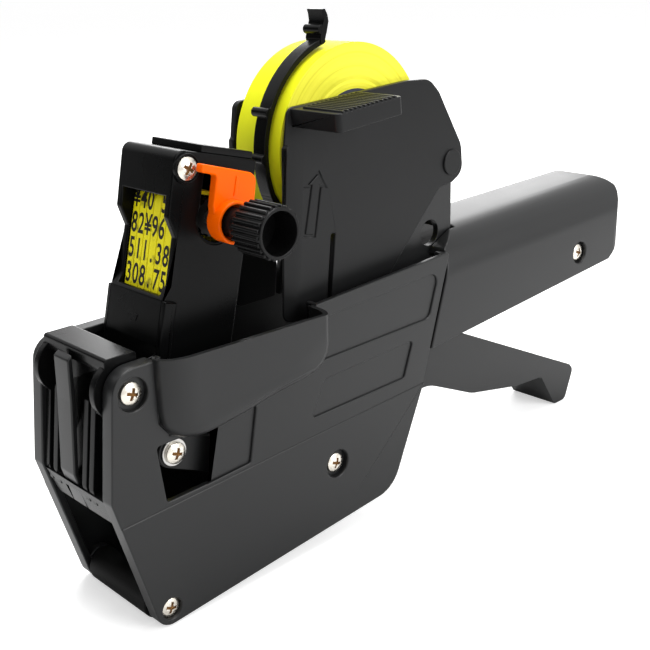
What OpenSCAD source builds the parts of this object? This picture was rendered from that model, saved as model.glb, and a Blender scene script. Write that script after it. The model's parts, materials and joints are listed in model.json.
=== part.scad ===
// Hand-held price labeler: squeeze lever, swinging print head with a band selector,
// label roll holder and applicator nose. Millimetres, +X toward the handle, +Z up.
// It stands on the applicator roller and on the finger hook of the lever.

/* [Body] */
// Length from the front corner to the handle seam
body_l = 145; // [135:1:160]
// Height of the side plates above the table
body_h = 90; // [85:1:96]
// Width over both side plates
body_w = 44; // [43:0.5:50]
// Wall of the side plates and the handle
wall = 2.4; // [1.8:0.1:2.6]
// Depth of the turned-in edge of a side plate
edge_depth = 5.4; // [4:0.1:5.4]
// Gap between a side plate and the handle
seam = 0.2; // [0.1:0.05:0.5]
// How far the trough for the knob stands out from the near side plate
trough_out = 6.4; // [4:0.1:8]
// How far the round rear lobe of the trough stands out further
lobe_out = 2.2; // [0:0.1:3]

/* [Handle] */
// Length of the handle behind the seam
handle_l = 115; // [95:1:130]
// Radius of the crown of the handle
crown_r = 15; // [10:0.5:18]

/* [Lever] */
// Width of the squeeze lever
lever_w = 22; // [18:0.5:22]
// Wall of the squeeze lever
lever_wall = 2.4; // [1.6:0.1:3]
// Turn of the lever from rest to the handle, in degrees
squeeze = 19; // [12:1:19]
// Thickness of a yoke arm
arm_t = 2.4; // [1.6:0.1:2.4]
// Half width from the middle to the inner face of a yoke arm
arm_in = 14; // [13.8:0.1:14]

/* [Print head] */
// Lean of the print head, in degrees
lean = 14; // [12:1:16]
// Width of the head housing
head_w = 26.4; // [25:0.1:27]
// Wall of the head housing
head_wall = 1.8; // [1.2:0.1:2]
// Number of printing bands
bands = 6; // [4:1:6]
// Distance from band to band
band_pitch = 3.45; // [2.8:0.05:3.45]
// Thickness of a printing band
band_t = 1.1; // [0.8:0.1:1.3]

/* [Selector] */
// Radius of the selector knob over its ribs
knob_r = 8; // [7:0.1:8.5]
// Length of the selector knob
knob_l = 12; // [9:0.5:16]
// Number of ribs on the knob
knob_ribs = 24; // [12:1:30]
// Distance from the middle plane to the inner end of the knob
knob_in = 28.5; // [24:0.5:32]
// Radius of the selector shaft
shaft_r = 2.6; // [2:0.1:2.8]

/* [Roll holder] */
// Half width from the middle to the inner face of a holder wall
holder_in = 11.6; // [11.4:0.1:12]
// Thickness of a holder wall
holder_t = 2.4; // [1.6:0.1:2.6]
// Length of the thumb tab
tab_l = 28; // [20:0.5:32]
// How far the thumb tab stands out
tab_out = 19.4; // [12:0.1:22]
// Height of the thumb tab
tab_h = 5.6; // [4:0.1:7]
// Radius of the hanging hole in the ears
hang_r = 4.7; // [3:0.1:5]

/* [Label roll] */
// Radius of the label roll
roll_r = 32.5; // [24:0.5:33]
// Width of the label roll
roll_w = 21; // [16:0.5:21.6]
// Outer radius of the roll core
core_r = 18; // [16:0.5:20]
// Wall of the roll core
core_wall = 1.5; // [1:0.1:2]

/* [Nose] */
// Radius of the applicator roller
nose_roller_r = 5.8; // [5.6:0.1:6.4]
// Radius of the nose of the side plates
nose_r = 5.4; // [5:0.1:5.5]
// Radius of the feed wheel
feed_r = 8; // [6:0.1:8.2]

/* [Fasteners] */
// Radius of the axles
axle_r = 2.5; // [2:0.1:2.6]
// Radius of a screw head
screw_r = 3.4; // [3:0.1:3.6]
// Height of a screw head
screw_h = 1.8; // [1.4:0.1:1.9]
// Radius of the sunk seat round a screw
seat_r = 4.9; // [4:0.1:5.2]

/* [Fits] */
// Gap between a shaft and its bore
fit = 0.06; // [0.02:0.01:0.1]
// Gap between parts that only pass each other
pass = 0.3; // [0.2:0.05:0.4]

/* [Hidden] */

black = [0.09, 0.09, 0.1];
dark = [0.16, 0.16, 0.17];
orange = [1, 0.36, 0.05];
yellow = [0.93, 0.95, 0.1];
nickel = [0.85, 0.83, 0.78];
felt = [0.25, 0.22, 0.3];
card = [0.62, 0.5, 0.35];

// One overrun for every cut, and the widths that follow from the driving sizes
over = 1;
half_w = body_w / 2;
plate_in = half_w - wall;
edge_in = half_w - edge_depth;
cover_half = edge_in - pass;
round_steps = 7;
fine = 48;

// A place in the side view, as shares of the body length and height
function at(share) = [share[0] * body_l, share[1] * body_h];

// Places of the axles and pins in the side view
nose = [0.024 * body_l, nose_roller_r];
front_pin = at([-0.02, 0.863]);
main_pin = at([0.509, 0.3133]);
stud_pin = at([0.083, 0.591]);
head_reach = 65.313;
knob_pin = [0.2517 * body_l, stud_pin[1] + head_reach];
roll_pin = at([0.662, 1.461]);
holder_pin = at([0.9724, 1.3278]);
stay_pin = at([0.497, 1.15]);
handle_pin = at([1.477, 0.802]);
feed_pin = at([0.29, 0.155]);
pawl_pin = at([0.4, 0.12]);
cover_pin = at([0.621, 0.138]);
rod_low = at([0.097, 0.185]);
rod_mid = at([0.79, 0.8]);
rod_high = at([0.9, 0.86]);
rod_r = 2;
front_x = -0.091 * body_l;
seam_top_x = 0.908 * body_l;

// The origin is at the middle of the box over the whole labeler, on the table
tip_x = seam_top_x + handle_l;
knob_end = knob_in + knob_l;
mid_x = (front_x + tip_x) / 2;
mid_y = (knob_end - half_w) / 2;
module place() translate([-mid_x, mid_y, 0]) children();

// Corner rounding of an outline written as points with a radius each
function unit(v) = v / norm(v);
function flat(p) = [p[0], p[1]];
function turned(v, a) = [v[0] * cos(a) - v[1] * sin(a), v[0] * sin(a) + v[1] * cos(a)];
function bend(a, p, b, r) =
  let (u = unit(a - p), v = unit(b - p), half = acos(u * v) / 2,
    t = min(r / tan(half), norm(a - p) / 2, norm(b - p) / 2),
    c = p + unit(u + v) * t / cos(half), s = p + u * t - c,
    sweep = (cross(u, v) > 0 ? -1 : 1) * (180 - 2 * half))
  [for (i = [0:round_steps]) c + turned(s, sweep * i / round_steps)];
function rounded(pts) = let (n = len(pts))
  [for (i = [0:n - 1]) each pts[i][2] == 0 ? [flat(pts[i])]
    : bend(flat(pts[(i + n - 1) % n]), flat(pts[i]), flat(pts[(i + 1) % n]), pts[i][2])];
// The same outline moved inward by d
function inset(pts, d) = let (n = len(pts))
  [for (i = [0:n - 1]) let (p = flat(pts[i]), u = unit(flat(pts[(i + n - 1) % n]) - p),
    v = unit(flat(pts[(i + 1) % n]) - p), half = acos(u * v) / 2,
    side = cross(u, v) > 0 ? -1 : 1, q = p + side * unit(u + v) * d / sin(half))
    [q[0], q[1], pts[i][2] == 0 ? 0 : max(pts[i][2] - side * d, d / 4)]];
function scaled(table) = [for (p = table) [p[0] * body_l, p[1] * body_h, p[2]]];
function arc(c, r, from, to, n) =
  [for (i = [0:n]) c + r * [cos(from + (to - from) * i / n), sin(from + (to - from) * i / n)]];

// A side view outline given thickness from y0 to y1, and a round bar along Y
module slab(pts, y0, y1) translate([0, y1, 0]) rotate([90, 0, 0])
  linear_extrude(y1 - y0) polygon(pts);
module bar(c, r, y0, y1, n = fine) translate([c[0], y1, c[1]]) rotate([90, 0, 0])
  cylinder(h = y1 - y0, r = r, $fn = n);
module both() { children(); mirror([0, 1, 0]) children(); }
// A link between two pins
module link(a, ra, b, rb, y0, y1) {
  side = turned(unit(b - a), 90);
  bar(a, ra, y0, y1);
  bar(b, rb, y0, y1);
  slab([a + side * ra, b + side * rb, b - side * rb, a - side * ra], y0, y1);
}

// Outlines of the side plate. The third value of a point is its corner radius.
belly_r = 12;
corner_r = 7.5;
soft_r = 3;
crisp_r = 1;
hip_r = 20;
front_tangent = 194;
bottom_tangent = 275;
plate_shares = [[0.698, 0.09, belly_r], [0.81, 0.486, soft_r], [0.908, 0.998, crisp_r],
  [0.408, 0.956, hip_r], [-0.0612, 0.948, corner_r], [-0.091, 0.523, soft_r]];
function plate_edge(d) = concat(
  arc(nose, nose_r - d, front_tangent, bottom_tangent, round_steps),
  rounded_open(inset_open(scaled(plate_shares), d)));
function with_nose(pts) = concat([[nose[0], nose[1] - nose_r, 0]], pts,
  [[nose[0] - nose_r, nose[1], 0]]);
function inset_open(pts, d) = inset(with_nose(pts), d);
function rounded_open(all) = [for (i = [1:len(all) - 2]) each
  bend(flat(all[i - 1]), flat(all[i]), flat(all[i + 1]), all[i][2])];

// Screw seats of the near and far plates
seat_spare = 0.4;
seat_depth = screw_h + seat_spare;
module seats(y_out, side) for (p = [front_pin, main_pin, nose])
  bar(p, p == nose ? screw_r + fit : seat_r, side > 0 ? y_out - seat_depth : y_out - over,
    side > 0 ? y_out + over : y_out + seat_depth);
boss_r = 6;
boss_t = 2.6;

// Window and the sunk fields of a plate
window_shares = [[0.0359, 0.4567, crisp_r], [0.147, 0.4615, 0], [0.178, 0.666, 0],
  [0.022, 0.66, crisp_r]];
sill_shares = [[0.14, 0.4607, 0], [0.2538, 0.47, crisp_r], [0.2786, 0.6744, crisp_r],
  [0.17, 0.666, 0]];
name_shares = [[0.4345, 0.538, crisp_r], [0.741, 0.546, crisp_r], [0.773, 0.686, crisp_r],
  [0.478, 0.668, crisp_r]];
band_shares = [[0.47, 0.7456, crisp_r], [0.832, 0.7556, soft_r], [0.868, 0.931, soft_r],
  [0.47, 0.9, crisp_r]];
field_depth = 1;
step_depth = 0.3;
sill_depth = 1.2;

module plate_shell(y_side) {
  y0 = y_side > 0 ? edge_in : -half_w;
  y1 = y_side > 0 ? half_w : -edge_in;
  i0 = y_side > 0 ? edge_in - over : -plate_in;
  i1 = y_side > 0 ? plate_in : -edge_in + over;
  difference() {
    slab(plate_edge(0), y0, y1);
    slab(plate_edge(wall), i0, i1);
    // The top edge is not turned in behind the trough
    slab([at([0.47, 0.85]), at([0.86, 0.85]), at([0.9, 1.05]), at([0.47, 1.05])], i0, i1);
    // The upper part lies a step lower than the lower part
    slab([at([-0.2, 0.424]), at([1, 0.506]), at([1, 1.1]), at([-0.2, 1.1])],
      y_side > 0 ? half_w - step_depth : -half_w - over, y_side > 0 ? half_w + over
      : -half_w + step_depth);
  }
  // Bosses that carry the three axles
  for (p = [front_pin, main_pin, nose])
    bar(p, p == nose ? nose_r - pass : boss_r, y_side > 0 ? plate_in - boss_t : -plate_in,
      y_side > 0 ? plate_in : -plate_in + boss_t);
}

module side_plate_far() color(black) difference() {
  plate_shell(1);
  seats(half_w, 1);
  for (p = [front_pin, main_pin, nose]) bar(p, axle_r + fit, edge_in - over, half_w + over);
  slab(rounded(scaled(name_shares)), half_w - field_depth, half_w + over);
  slab(rounded(scaled(window_shares)), edge_in - over, half_w + over);
  slab(rounded(scaled(sill_shares)), half_w - sill_depth, half_w + over);
}

// Trough on the near plate, where the knob comes down with the head
trough_shares = [[0.035, 0.975, 0], [0.03, 0.735, 0], [0.055, 0.685, 0], [0.11, 0.655, 0],
  [0.2, 0.672, 0], [0.43, 0.742, 0], [0.458, 0.8, 0], [0.458, 0.975, 0]];
trough_r = 5;
lobe_r = 4;
trough_wall = 1.8;
rim_z = 0.956 * body_h;
trough_ball = [0.135 * body_l, 0.745 * body_h];
trough_mid = [0.26 * body_l, 0.765 * body_h];
lobe_ball = [0.405 * body_l, 0.83 * body_h];
// A round-bottomed post at a place in the side view, against the plane y_out
module post(c, r, y_out, lift) {
  translate([c[0], -y_out + r, c[1]]) cylinder(r = r, h = rim_z - c[1] + lift, $fn = 32);
  translate([c[0], -y_out + r, c[1]]) sphere(r = r, $fn = 24);
}
module trough_form(d, lift) hull() {
  slab([for (p = inset(scaled(trough_shares), d)) flat(p)], -half_w, -plate_in + d);
  post(trough_ball, trough_r - d, half_w + trough_out - d, lift);
  post(trough_mid, trough_r - d, half_w + trough_out - d, lift);
  post(lobe_ball, lobe_r - d, half_w + trough_out + lobe_out - d, lift);
}

module side_plate_near() color(black) {
  difference() {
    union() {
      difference() {
        plate_shell(-1);
        slab(rounded(scaled(trough_shares)), -half_w - over, -edge_in + over);
      }
      intersection() {
        trough_form(0, over);
        slab([[front_x, 0], [seam_top_x, 0], [seam_top_x, rim_z], [front_x, rim_z]],
          -half_w - trough_out - lobe_out - over, -plate_in + fit);
      }
    }
    translate([0, fit, 0]) trough_form(trough_wall, over + over);
    seats(-half_w, -1);
    for (p = [front_pin, main_pin, nose])
      bar(p, axle_r + fit, -half_w - over, -edge_in + over);
    slab(rounded(scaled(name_shares)), -half_w - over, -half_w + field_depth);
    slab(rounded(scaled(band_shares)), -half_w - over, -half_w + field_depth);
    slab(rounded(scaled(window_shares)), -half_w - over, -edge_in + over);
    slab(rounded(scaled(sill_shares)), -half_w - over, -half_w + sill_depth);
  }
}

// Handle: side outline, crown section and plan outline cut each other
tip_r = 12;
handle_seat_r = 4.4;
function handle_side(d) = inset([[0.8375 * body_l + seam, 0.621 * body_h, 0],
  [tip_x - 0.069 * body_l, 0.718 * body_h, soft_r],
  [tip_x - 0.03 * body_l, 0.762 * body_h, soft_r],
  [tip_x, 0.95 * body_h, soft_r], [tip_x, 1.092 * body_h + pass, tip_r],
  [body_l, 1.062 * body_h + pass, corner_r], [0.9125 * body_l + seam, body_h, 0]], d);
crown_rise = 0.03 * body_h;
crown_slope = -atan(crown_rise / (tip_x - body_l));
crown_top = 1.062 * body_h - crown_rise * body_l / (tip_x - body_l);
function handle_section(d) = inset([[-half_w, -body_h, 0], [half_w, -body_h, 0],
  [half_w, 0, crown_r], [-half_w, 0, crown_r]], d);
function handle_plan(d) = inset([[0.8 * body_l, -half_w, 0], [tip_x, -half_w, corner_r],
  [tip_x, half_w, corner_r], [0.8 * body_l, half_w, 0]], d);
module handle_form(d) intersection() {
  slab(rounded(handle_side(d)), -half_w, half_w);
  translate([0, 0, crown_top]) rotate([0, crown_slope, 0]) rotate([90, 0, 90])
    linear_extrude(tip_x + over) polygon(rounded(handle_section(d)));
  linear_extrude(crown_top + body_h) polygon(rounded(handle_plan(d)));
}
ear_in = holder_in - pass - holder_t;
ear_out = holder_in - pass;
module handle() color(black) difference() {
  handle_form(0);
  handle_form(wall);
  // Open below and toward the body
  slab([[0.8 * body_l, 0.5 * body_h], [tip_x - wall, 0.5 * body_h], [tip_x - wall, 0.83 * body_h],
    [0.86 * body_l, 0.83 * body_h]], -plate_in + pass, plate_in - pass);
  slab([at([0.8, 0.5]), at([0.93, 0.5]), at([0.96, 0.97]), at([0.88, 0.97])],
    -plate_in + pass, plate_in - pass);
  // Room for the two ears
  slab([[0.86 * body_l, 0.8 * body_h], [1.006 * body_l, 0.8 * body_h],
    [1.006 * body_l, 1.2 * body_h], [0.86 * body_l, 1.2 * body_h]],
    -ear_out - pass, ear_out + pass);
  both() bar(handle_pin, handle_seat_r, half_w - seat_depth, half_w + over);
  bar(handle_pin, axle_r / 2 + fit, -half_w, half_w);
  // Seats for the ends of the two rods
  for (p = [rod_mid, rod_high]) bar(p, rod_r + fit, -plate_in - fit, plate_in + fit);
}

spacer_r = 3.2;
module handle_spacer() color(dark) difference() {
  bar(handle_pin, spacer_r, -plate_in, plate_in);
  bar(handle_pin, axle_r / 2 + fit, -half_w, half_w);
}

// A cross-head screw seen from outside, its head outside y
cross_w = 0.9;
cross_l = 3.6;
module screw(c, y, shank, reach) difference() {
  union() {
    translate([c[0], y, c[1]]) rotate([90, 0, 0]) intersection() {
      cylinder(r = screw_r, h = screw_h, $fn = fine);
      translate([0, 0, screw_h - screw_r * 2]) sphere(r = screw_r * 2, $fn = fine);
    }
    bar(c, shank, y - fit, y + reach);
  }
  for (a = [20, 110]) translate([c[0], y - screw_h, c[1]]) rotate([0, a, 0])
    cube([cross_l, screw_h, cross_w], center = true);
}
module screw_pair(c, y, shank, reach) both() screw(c, -y, shank, reach);
module handle_screws() color(nickel)
  screw_pair(handle_pin, half_w - seat_depth, axle_r / 2, half_w / 2);
screw_reach = 3;
module side_screws_near() color(nickel) for (p = [front_pin, main_pin, nose])
  screw(p, -half_w + seat_depth, axle_r / 2, screw_reach);
module side_screws_far() color(nickel) mirror([0, 1, 0]) side_screws_near();

// Axles: plain bars with a threaded end hole for a side screw
module axle(p) color(nickel) difference() {
  bar(p, axle_r, -half_w + seat_depth, half_w - seat_depth);
  both() bar(p, axle_r / 2, half_w - seat_depth - screw_reach - over, half_w);
}
module nose_axle() axle(nose);
module front_axle() axle(front_pin);
module main_axle() axle(main_pin);

// Inner frames with the ears that carry the holder
ear_shares = [[0.69, 0.85, crisp_r], [0.93, 0.85, crisp_r], [0.9945, 0.94, crisp_r],
  [0.9945, 1.24, crisp_r], [1.013, 1.33, soft_r], [0.985, 1.392, soft_r],
  [0.945, 1.37, soft_r], [0.905, 1.25, soft_r], [0.81, 1.07, soft_r], [0.745, 0.98, soft_r]];
hang_pin = at([0.913, 1.055]);
module inner_frame(y0, y1) color(black) difference() {
  slab(rounded(scaled(ear_shares)), y0, y1);
  bar(holder_pin, axle_r + fit, y0 - over, y1 + over);
  bar(hang_pin, hang_r, y0 - over, y1 + over);
  bar(rod_mid, rod_r + fit, y0 - over, y1 + over);
  bar(rod_high, rod_r + fit, y0 - over, y1 + over);
}
module inner_frame_near() inner_frame(-ear_out, -ear_in);
module inner_frame_far() inner_frame(ear_in, ear_out);
module frame_rods() color(nickel) {
  bar(rod_mid, rod_r, -plate_in, plate_in);
  bar(rod_high, rod_r, -plate_in, plate_in);
  bar(rod_low, rod_r, -plate_in, plate_in);
}

// Return spring: one wire wound round the main axle
wire_r = 0.7;
spring_turns = 5;
spring_play = 0.6;
coil_gap = 0.5;
spring_r = axle_r + wire_r + spring_play;
spring_pitch = 2 * wire_r + coil_gap;
spring_rings = 8;
wire_sides = 6;
function spring_point(t) = [main_pin[0] + spring_r * cos(360 * t),
  -spring_turns * spring_pitch / 2 + spring_pitch * t, main_pin[1] + spring_r * sin(360 * t)];
function ring(t) = let (c = spring_point(t), out = [cos(360 * t), 0, sin(360 * t)])
  [for (k = [0:wire_sides - 1]) c + wire_r * (cos(360 * k / wire_sides) * out
    + sin(360 * k / wire_sides) * [0, 1, 0])];
function tube_faces(rings, sides) = concat([[for (k = [0:sides - 1]) k]],
  [for (i = [0:rings - 2], k = [0:sides - 1], tri = [0, 1]) let (a = i * sides + k,
    b = i * sides + (k + 1) % sides) tri == 0 ? [a, a + sides, b] : [b, a + sides, b + sides]],
  [[for (k = [sides - 1:-1:0]) (rings - 1) * sides + k]]);
ring_count = spring_turns * spring_rings + 1;
module return_spring() color(nickel)
  polyhedron([for (i = [0:ring_count - 1]) each ring(i / spring_rings)],
    tube_faces(ring_count, wire_sides));
echo(spring_gap = spring_pitch - 2 * wire_r);

// Squeeze lever: an open channel that follows the underside outline
under_shares = [[0.455, 0.27, 0], [0.5, 0.215, soft_r], [0.6, 0.2, corner_r],
  [0.8, 0.345, hip_r], [0.897, 0.408, hip_r], [1.1, 0.262, hip_r], [1.3, 0.196, hip_r],
  [1.425, 0.18, soft_r], [1.5, 0, soft_r], [1.556, 0.0, soft_r], [1.593, 0.145, soft_r]];
top_shares = [[1.575, 0.176, crisp_r], [1.055, 0.566, soft_r], [0.88, 0.585, soft_r],
  [0.6, 0.44, soft_r], [0.455, 0.42, 0]];
hub_r = 8;
lever_half = lever_w / 2;
spring_room = spring_turns * spring_pitch / 2 + 2 * wire_r;
function under_up(d) = [for (p = scaled(under_shares)) [p[0], p[1] + d, p[2]]];
module squeeze_lever() color(black) difference() {
  union() {
    difference() {
      slab(rounded(concat(scaled(under_shares), scaled(top_shares))), -lever_half, lever_half);
      slab(rounded(concat(under_up(lever_wall), [[1.62 * body_l, body_h, 0],
        [0.455 * body_l, body_h, 0]])), -lever_half + lever_wall, lever_half - lever_wall);
    }
    both() bar(main_pin, hub_r, spring_room, arm_in);
  }
  bar(main_pin, axle_r + fit, -half_w, half_w);
  bar(main_pin, hub_r, -spring_room, spring_room);
  bar(yoke_at, pin_r + fit, -half_w, half_w);
}
pin_r = 1.5;
yoke_at = at([0.47, 0.365]);
module yoke_pin() color(nickel)
  both() bar(yoke_at, pin_r, lever_half - lever_wall, arm_in + arm_t);

arm_end_r = 5.2;
bush_r = 3.6;
module yoke_arm(y0, y1) color(dark) difference() {
  link(main_pin, hub_r, stud_pin, arm_end_r, y0, y1);
  bar(main_pin, axle_r + fit, y0 - over, y1 + over);
  bar(yoke_at, pin_r + fit, y0 - over, y1 + over);
  bar(stud_pin, bush_r + fit, y0 - over, y1 + over);
}
module yoke_arm_near() yoke_arm(-arm_in - arm_t, -arm_in);
module yoke_arm_far() yoke_arm(arm_in, arm_in + arm_t);

// Print head, drawn upright round the knob axis and then leaned back
module head() translate([knob_pin[0], 0, knob_pin[1]]) rotate([0, lean, 0]) children();
swing = turned(stud_pin - main_pin, squeeze) - (stud_pin - main_pin);
stroke = turned(swing, lean);
head_half = head_w / 2;
wheel_r = 6.3;
band_front = 13.6;
bend_v = 31;
type_v = 71.9;
type_front = 7.5;
band_loop = [[wheel_r + band_t, wheel_r + band_t, wheel_r + band_t],
  [-band_front, wheel_r + band_t, band_front - wheel_r - band_t - crisp_r / 2],
  [-band_front, -bend_v, hip_r], [-type_front, -type_v, soft_r],
  [wheel_r + band_t, -type_v, soft_r]];
band_half = bands * band_pitch / 2;
head_front = 18.2;
head_rear = 11.6;
head_top = 18.2;
brow_v = 6.5;
recess_v = 20.4;
ledge_v = 24.6;
chin_v = 38;
heel_v = 45;
foot_front = 9.8;
recess_front = band_front + 2 * pass;
// Side view of the housing, with the brow over the window and the ledge under it
head_side = [[head_rear, head_top, crisp_r], [-head_front, head_top, soft_r],
  [-head_front + crisp_r / 2, -crisp_r, crisp_r], [-recess_front, -brow_v, crisp_r],
  [-recess_front, -recess_v, crisp_r], [-head_front + head_wall, -ledge_v, crisp_r],
  [-head_front + head_wall, -chin_v, soft_r], [-foot_front, -type_v + soft_r, crisp_r],
  [head_rear - head_wall, -type_v + soft_r, crisp_r], [head_rear, -heel_v, soft_r]];
window_top = 4.8;
window_low = 23.6;
slot_r = 7;
slot_seat_r = 7.6;
slot_seat_depth = 0.5;
cavity_front = 9;
chin_half = 14.8;
chin_front = head_front - head_wall - fit;
chin_rear = 12;
chin_low = 58;
chin_taper = 4;
stud_r = 5;
module head_housing() color(black) difference() {
  union() {
    head() slab(rounded(head_side), -head_half, head_half);
    both() head() slab([[-chin_front, -chin_v], [-chin_front, -ledge_v],
      [-chin_rear, -ledge_v], [-chin_rear, -chin_low], [-chin_front + chin_taper, -chin_low]],
      head_half - over, chin_half);
    both() bar(stud_pin, stud_r, head_half - head_wall + pass, head_half + pass);
    both() bar(stud_pin, bush_r - fit, head_half, arm_in);
  }
  // Hollow for the bands and the selector wheels
  head() slab([[head_rear - head_wall, head_top - head_wall],
    [-head_front + head_wall, head_top - head_wall], [-head_front + head_wall, window_top],
    [-band_front + head_wall, window_top - crisp_r], [-band_front + head_wall, -chin_v],
    [-cavity_front, -chin_v], [-cavity_front, -type_v - over],
    [head_rear - head_wall, -type_v - over]], -head_half + head_wall, head_half - head_wall);
  head() slab(rounded(inset(band_loop, -pass)), -band_half - pass, band_half + pass);
  head() slab([[0, window_top], [-head_front - over, window_top],
    [-head_front - over, -window_low], [0, -window_low]], -band_half - pass, band_half + pass);
  // Slot in the near side for the selector shaft
  head() slab(rounded([[slot_r, slot_top, 0], [-slot_r, slot_top, 0],
    [-slot_r, -slot_r, slot_r - fit], [slot_r, -slot_r, slot_r - fit]]),
    -head_half - over, 0);
  head() bar([0, 0], slot_seat_r, -head_half - over, -head_half + slot_seat_depth);
  head() bar([0, 0], shaft_r + fit, 0, head_half + over);
  bar(stud_pin, axle_r / 2 + fit, -half_w, half_w);
  head() bar(top_screw, axle_r / 2 + fit, -head_half - over, head_half + over);
  head() both() bar(guide_at, guide_pin_r + fit, 0, head_half - head_wall / 2);
  head() both() bar(anvil_pin, guide_pin_r + fit, 0, head_half - head_wall / 2);
}
slot_top = 12.8;
top_screw = [-0.764 * head_front, 0.731 * head_top];
plate_t = 2.2;
plate_front = -8.6;
module head_top_plate() color(dark) head()
  slab([[plate_front, head_top], [head_rear - crisp_r, head_top],
    [head_rear - crisp_r, head_top + plate_t], [plate_front, head_top + plate_t]],
    -head_half + over, head_half - over);
module head_screws() color(nickel) head() both()
  screw(top_screw, -head_half, axle_r / 2, screw_reach);
flange_r = 4.25;
flange_t = 0.6;
module stud_screws() color(nickel)
  screw_pair(stud_pin, arm_in + arm_t + fit + flange_t, axle_r / 2, screw_reach + arm_t);
module stud_bushes() color(nickel) both() difference() {
  union() {
    bar(stud_pin, bush_r, arm_in, arm_in + arm_t + fit + flange_t);
    bar(stud_pin, flange_r, arm_in + arm_t + fit, arm_in + arm_t + fit + flange_t);
  }
  bar(stud_pin, axle_r / 2 + fit, arm_in - over, half_w);
}

band_gap = 0.3;
function band_y(i) = (i - (bands - 1) / 2) * band_pitch;
module print_bands() color(yellow) head() for (i = [0:bands - 1]) difference() {
  slab(rounded(band_loop), band_y(i) - (band_pitch - band_gap) / 2,
    band_y(i) + (band_pitch - band_gap) / 2);
  slab(rounded(inset(band_loop, band_t)), band_y(i) - band_pitch, band_y(i) + band_pitch);
}
guide_r = 2.8;
guide_pin_r = 1;
guide_v = 1.4;
guide_at = [-band_front + band_t + guide_r + fit, guide_v];
module band_guide() color(nickel) head() {
  bar(guide_at, guide_r, -band_half, band_half);
  both() bar(guide_at, guide_pin_r, band_half, head_half - head_wall / 2);
}
anvil_h = 13;
anvil_front = 6.4;
anvil_rear = 5.3;
anvil_low = type_v - band_t - fit;
anvil_pin = [0, -anvil_low + anvil_h / 2];
module print_anvil() color(dark) head() {
  slab(rounded([[anvil_rear, -anvil_low + anvil_h, crisp_r],
    [-anvil_front, -anvil_low + anvil_h, crisp_r], [-anvil_front + pass, -anvil_low, crisp_r],
    [anvil_rear, -anvil_low, crisp_r]]), -band_half, band_half);
  both() bar(anvil_pin, guide_pin_r, band_half, head_half - head_wall / 2);
}

// Selector wheels with toothed rims inside the bands
teeth = 12;
tooth_w = 1.2;
wheel_gap = 0.4;
module selector_wheel(i) color(dark) head() difference() {
  union() {
    bar([0, 0], wheel_r - over, band_y(i) - (band_pitch - wheel_gap) / 2,
      band_y(i) + (band_pitch - wheel_gap) / 2);
    for (k = [0:teeth - 1]) translate([0, band_y(i), 0]) rotate([0, 360 * k / teeth, 0])
      translate([wheel_r - over, 0, 0])
      cube([over, band_pitch - wheel_gap, tooth_w], center = true);
  }
  bar([0, 0], shaft_r + fit, band_y(i) - band_pitch, band_y(i) + band_pitch);
}
module selector_wheel_1() selector_wheel(0);
module selector_wheel_2() selector_wheel(1);
module selector_wheel_3() selector_wheel(2);
module selector_wheel_4() selector_wheel(3);
module selector_wheel_5() selector_wheel(4);
module selector_wheel_6() selector_wheel(5);

// Pointer: an orange plate with a ring round the shaft, its finger over the head
pointer_gap = 2.4;
pointer_in = head_half + pointer_gap;
pointer_t = 3;
pointer_h = 15.4;
ring_l = 3;
ring_r = 6.3;
ring_wall = 1.1;
pointer_shares = [[-0.364, 0, 0], [-0.429, 0.26, soft_r], [-0.442, 0.818, crisp_r],
  [-0.805, 0.838, 0], [-0.805, 1, 0], [0.506, 0.94, soft_r], [0.552, 0.26, soft_r],
  [0.364, 0, 0]];
function sized(table, l) = [for (p = table) [p[0] * l, p[1] * l, p[2]]];
module pointer() color(orange) head() difference() {
  union() {
    slab(rounded(reverse(sized(pointer_shares, pointer_h))), -pointer_in - pointer_t, -pointer_in);
    bar([0, 0], ring_r, -pointer_in - pointer_t - ring_l, -pointer_in);
  }
  bar([0, 0], ring_r - ring_wall, -half_w - over, -pointer_in - pointer_t + over);
  bar([0, 0], shaft_r, -half_w - over, 0);
}
module selector_shaft() color(dark) head() {
  bar([0, 0], shaft_r, -knob_in - knob_web / 2, head_half - wall);
  bar([0, 0], shaft_r + over, -pointer_in + pass, -head_half + over);
}
knob_hole = 6.3;
knob_web = 2.6;
hub_small = 4.4;
rib_r = 0.7;
module selector_knob() color(black) head() difference() {
  union() {
    bar([0, 0], knob_r - rib_r, -knob_end, -knob_in);
    bar([0, 0], hub_small, -knob_in - over, -pointer_in - pointer_t + over - pass);
    for (k = [0:knob_ribs - 1])
      bar((knob_r - rib_r) * [cos(360 * k / knob_ribs), sin(360 * k / knob_ribs)], rib_r,
        -knob_end + rib_r, -knob_in, 12);
  }
  bar([0, 0], knob_hole, -knob_end - over, -knob_in - knob_web);
  bar([0, 0], shaft_r + fit, -knob_in - knob_web / 2 - fit, 0);
}

// Ink roller on two arms from the front axle
ink_pin = at([0.0125, 0.534]);
ink_r = 4;
ink_core_r = 1.6;
ink_arm_in = 12;
ink_arm_t = 1.6;
ink_hub_r = 3.6;
ink_end_r = 2.6;
module ink_arms() color(dark) both() difference() {
  link(front_pin, ink_hub_r, ink_pin, ink_end_r, ink_arm_in, ink_arm_in + ink_arm_t);
  bar(front_pin, axle_r + fit, 0, half_w);
  bar(ink_pin, ink_core_r / 2 + fit, 0, half_w);
}
module ink_roller_core() color(nickel) {
  bar(ink_pin, ink_core_r, -ink_arm_in + pass, ink_arm_in - pass);
  both() bar(ink_pin, ink_core_r / 2, ink_arm_in - pass, ink_arm_in + ink_arm_t);
}
module ink_roller_felt() color(felt) difference() {
  bar(ink_pin, ink_r, -ink_arm_in + over, ink_arm_in - over);
  bar(ink_pin, ink_core_r, -half_w, half_w);
}

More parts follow.
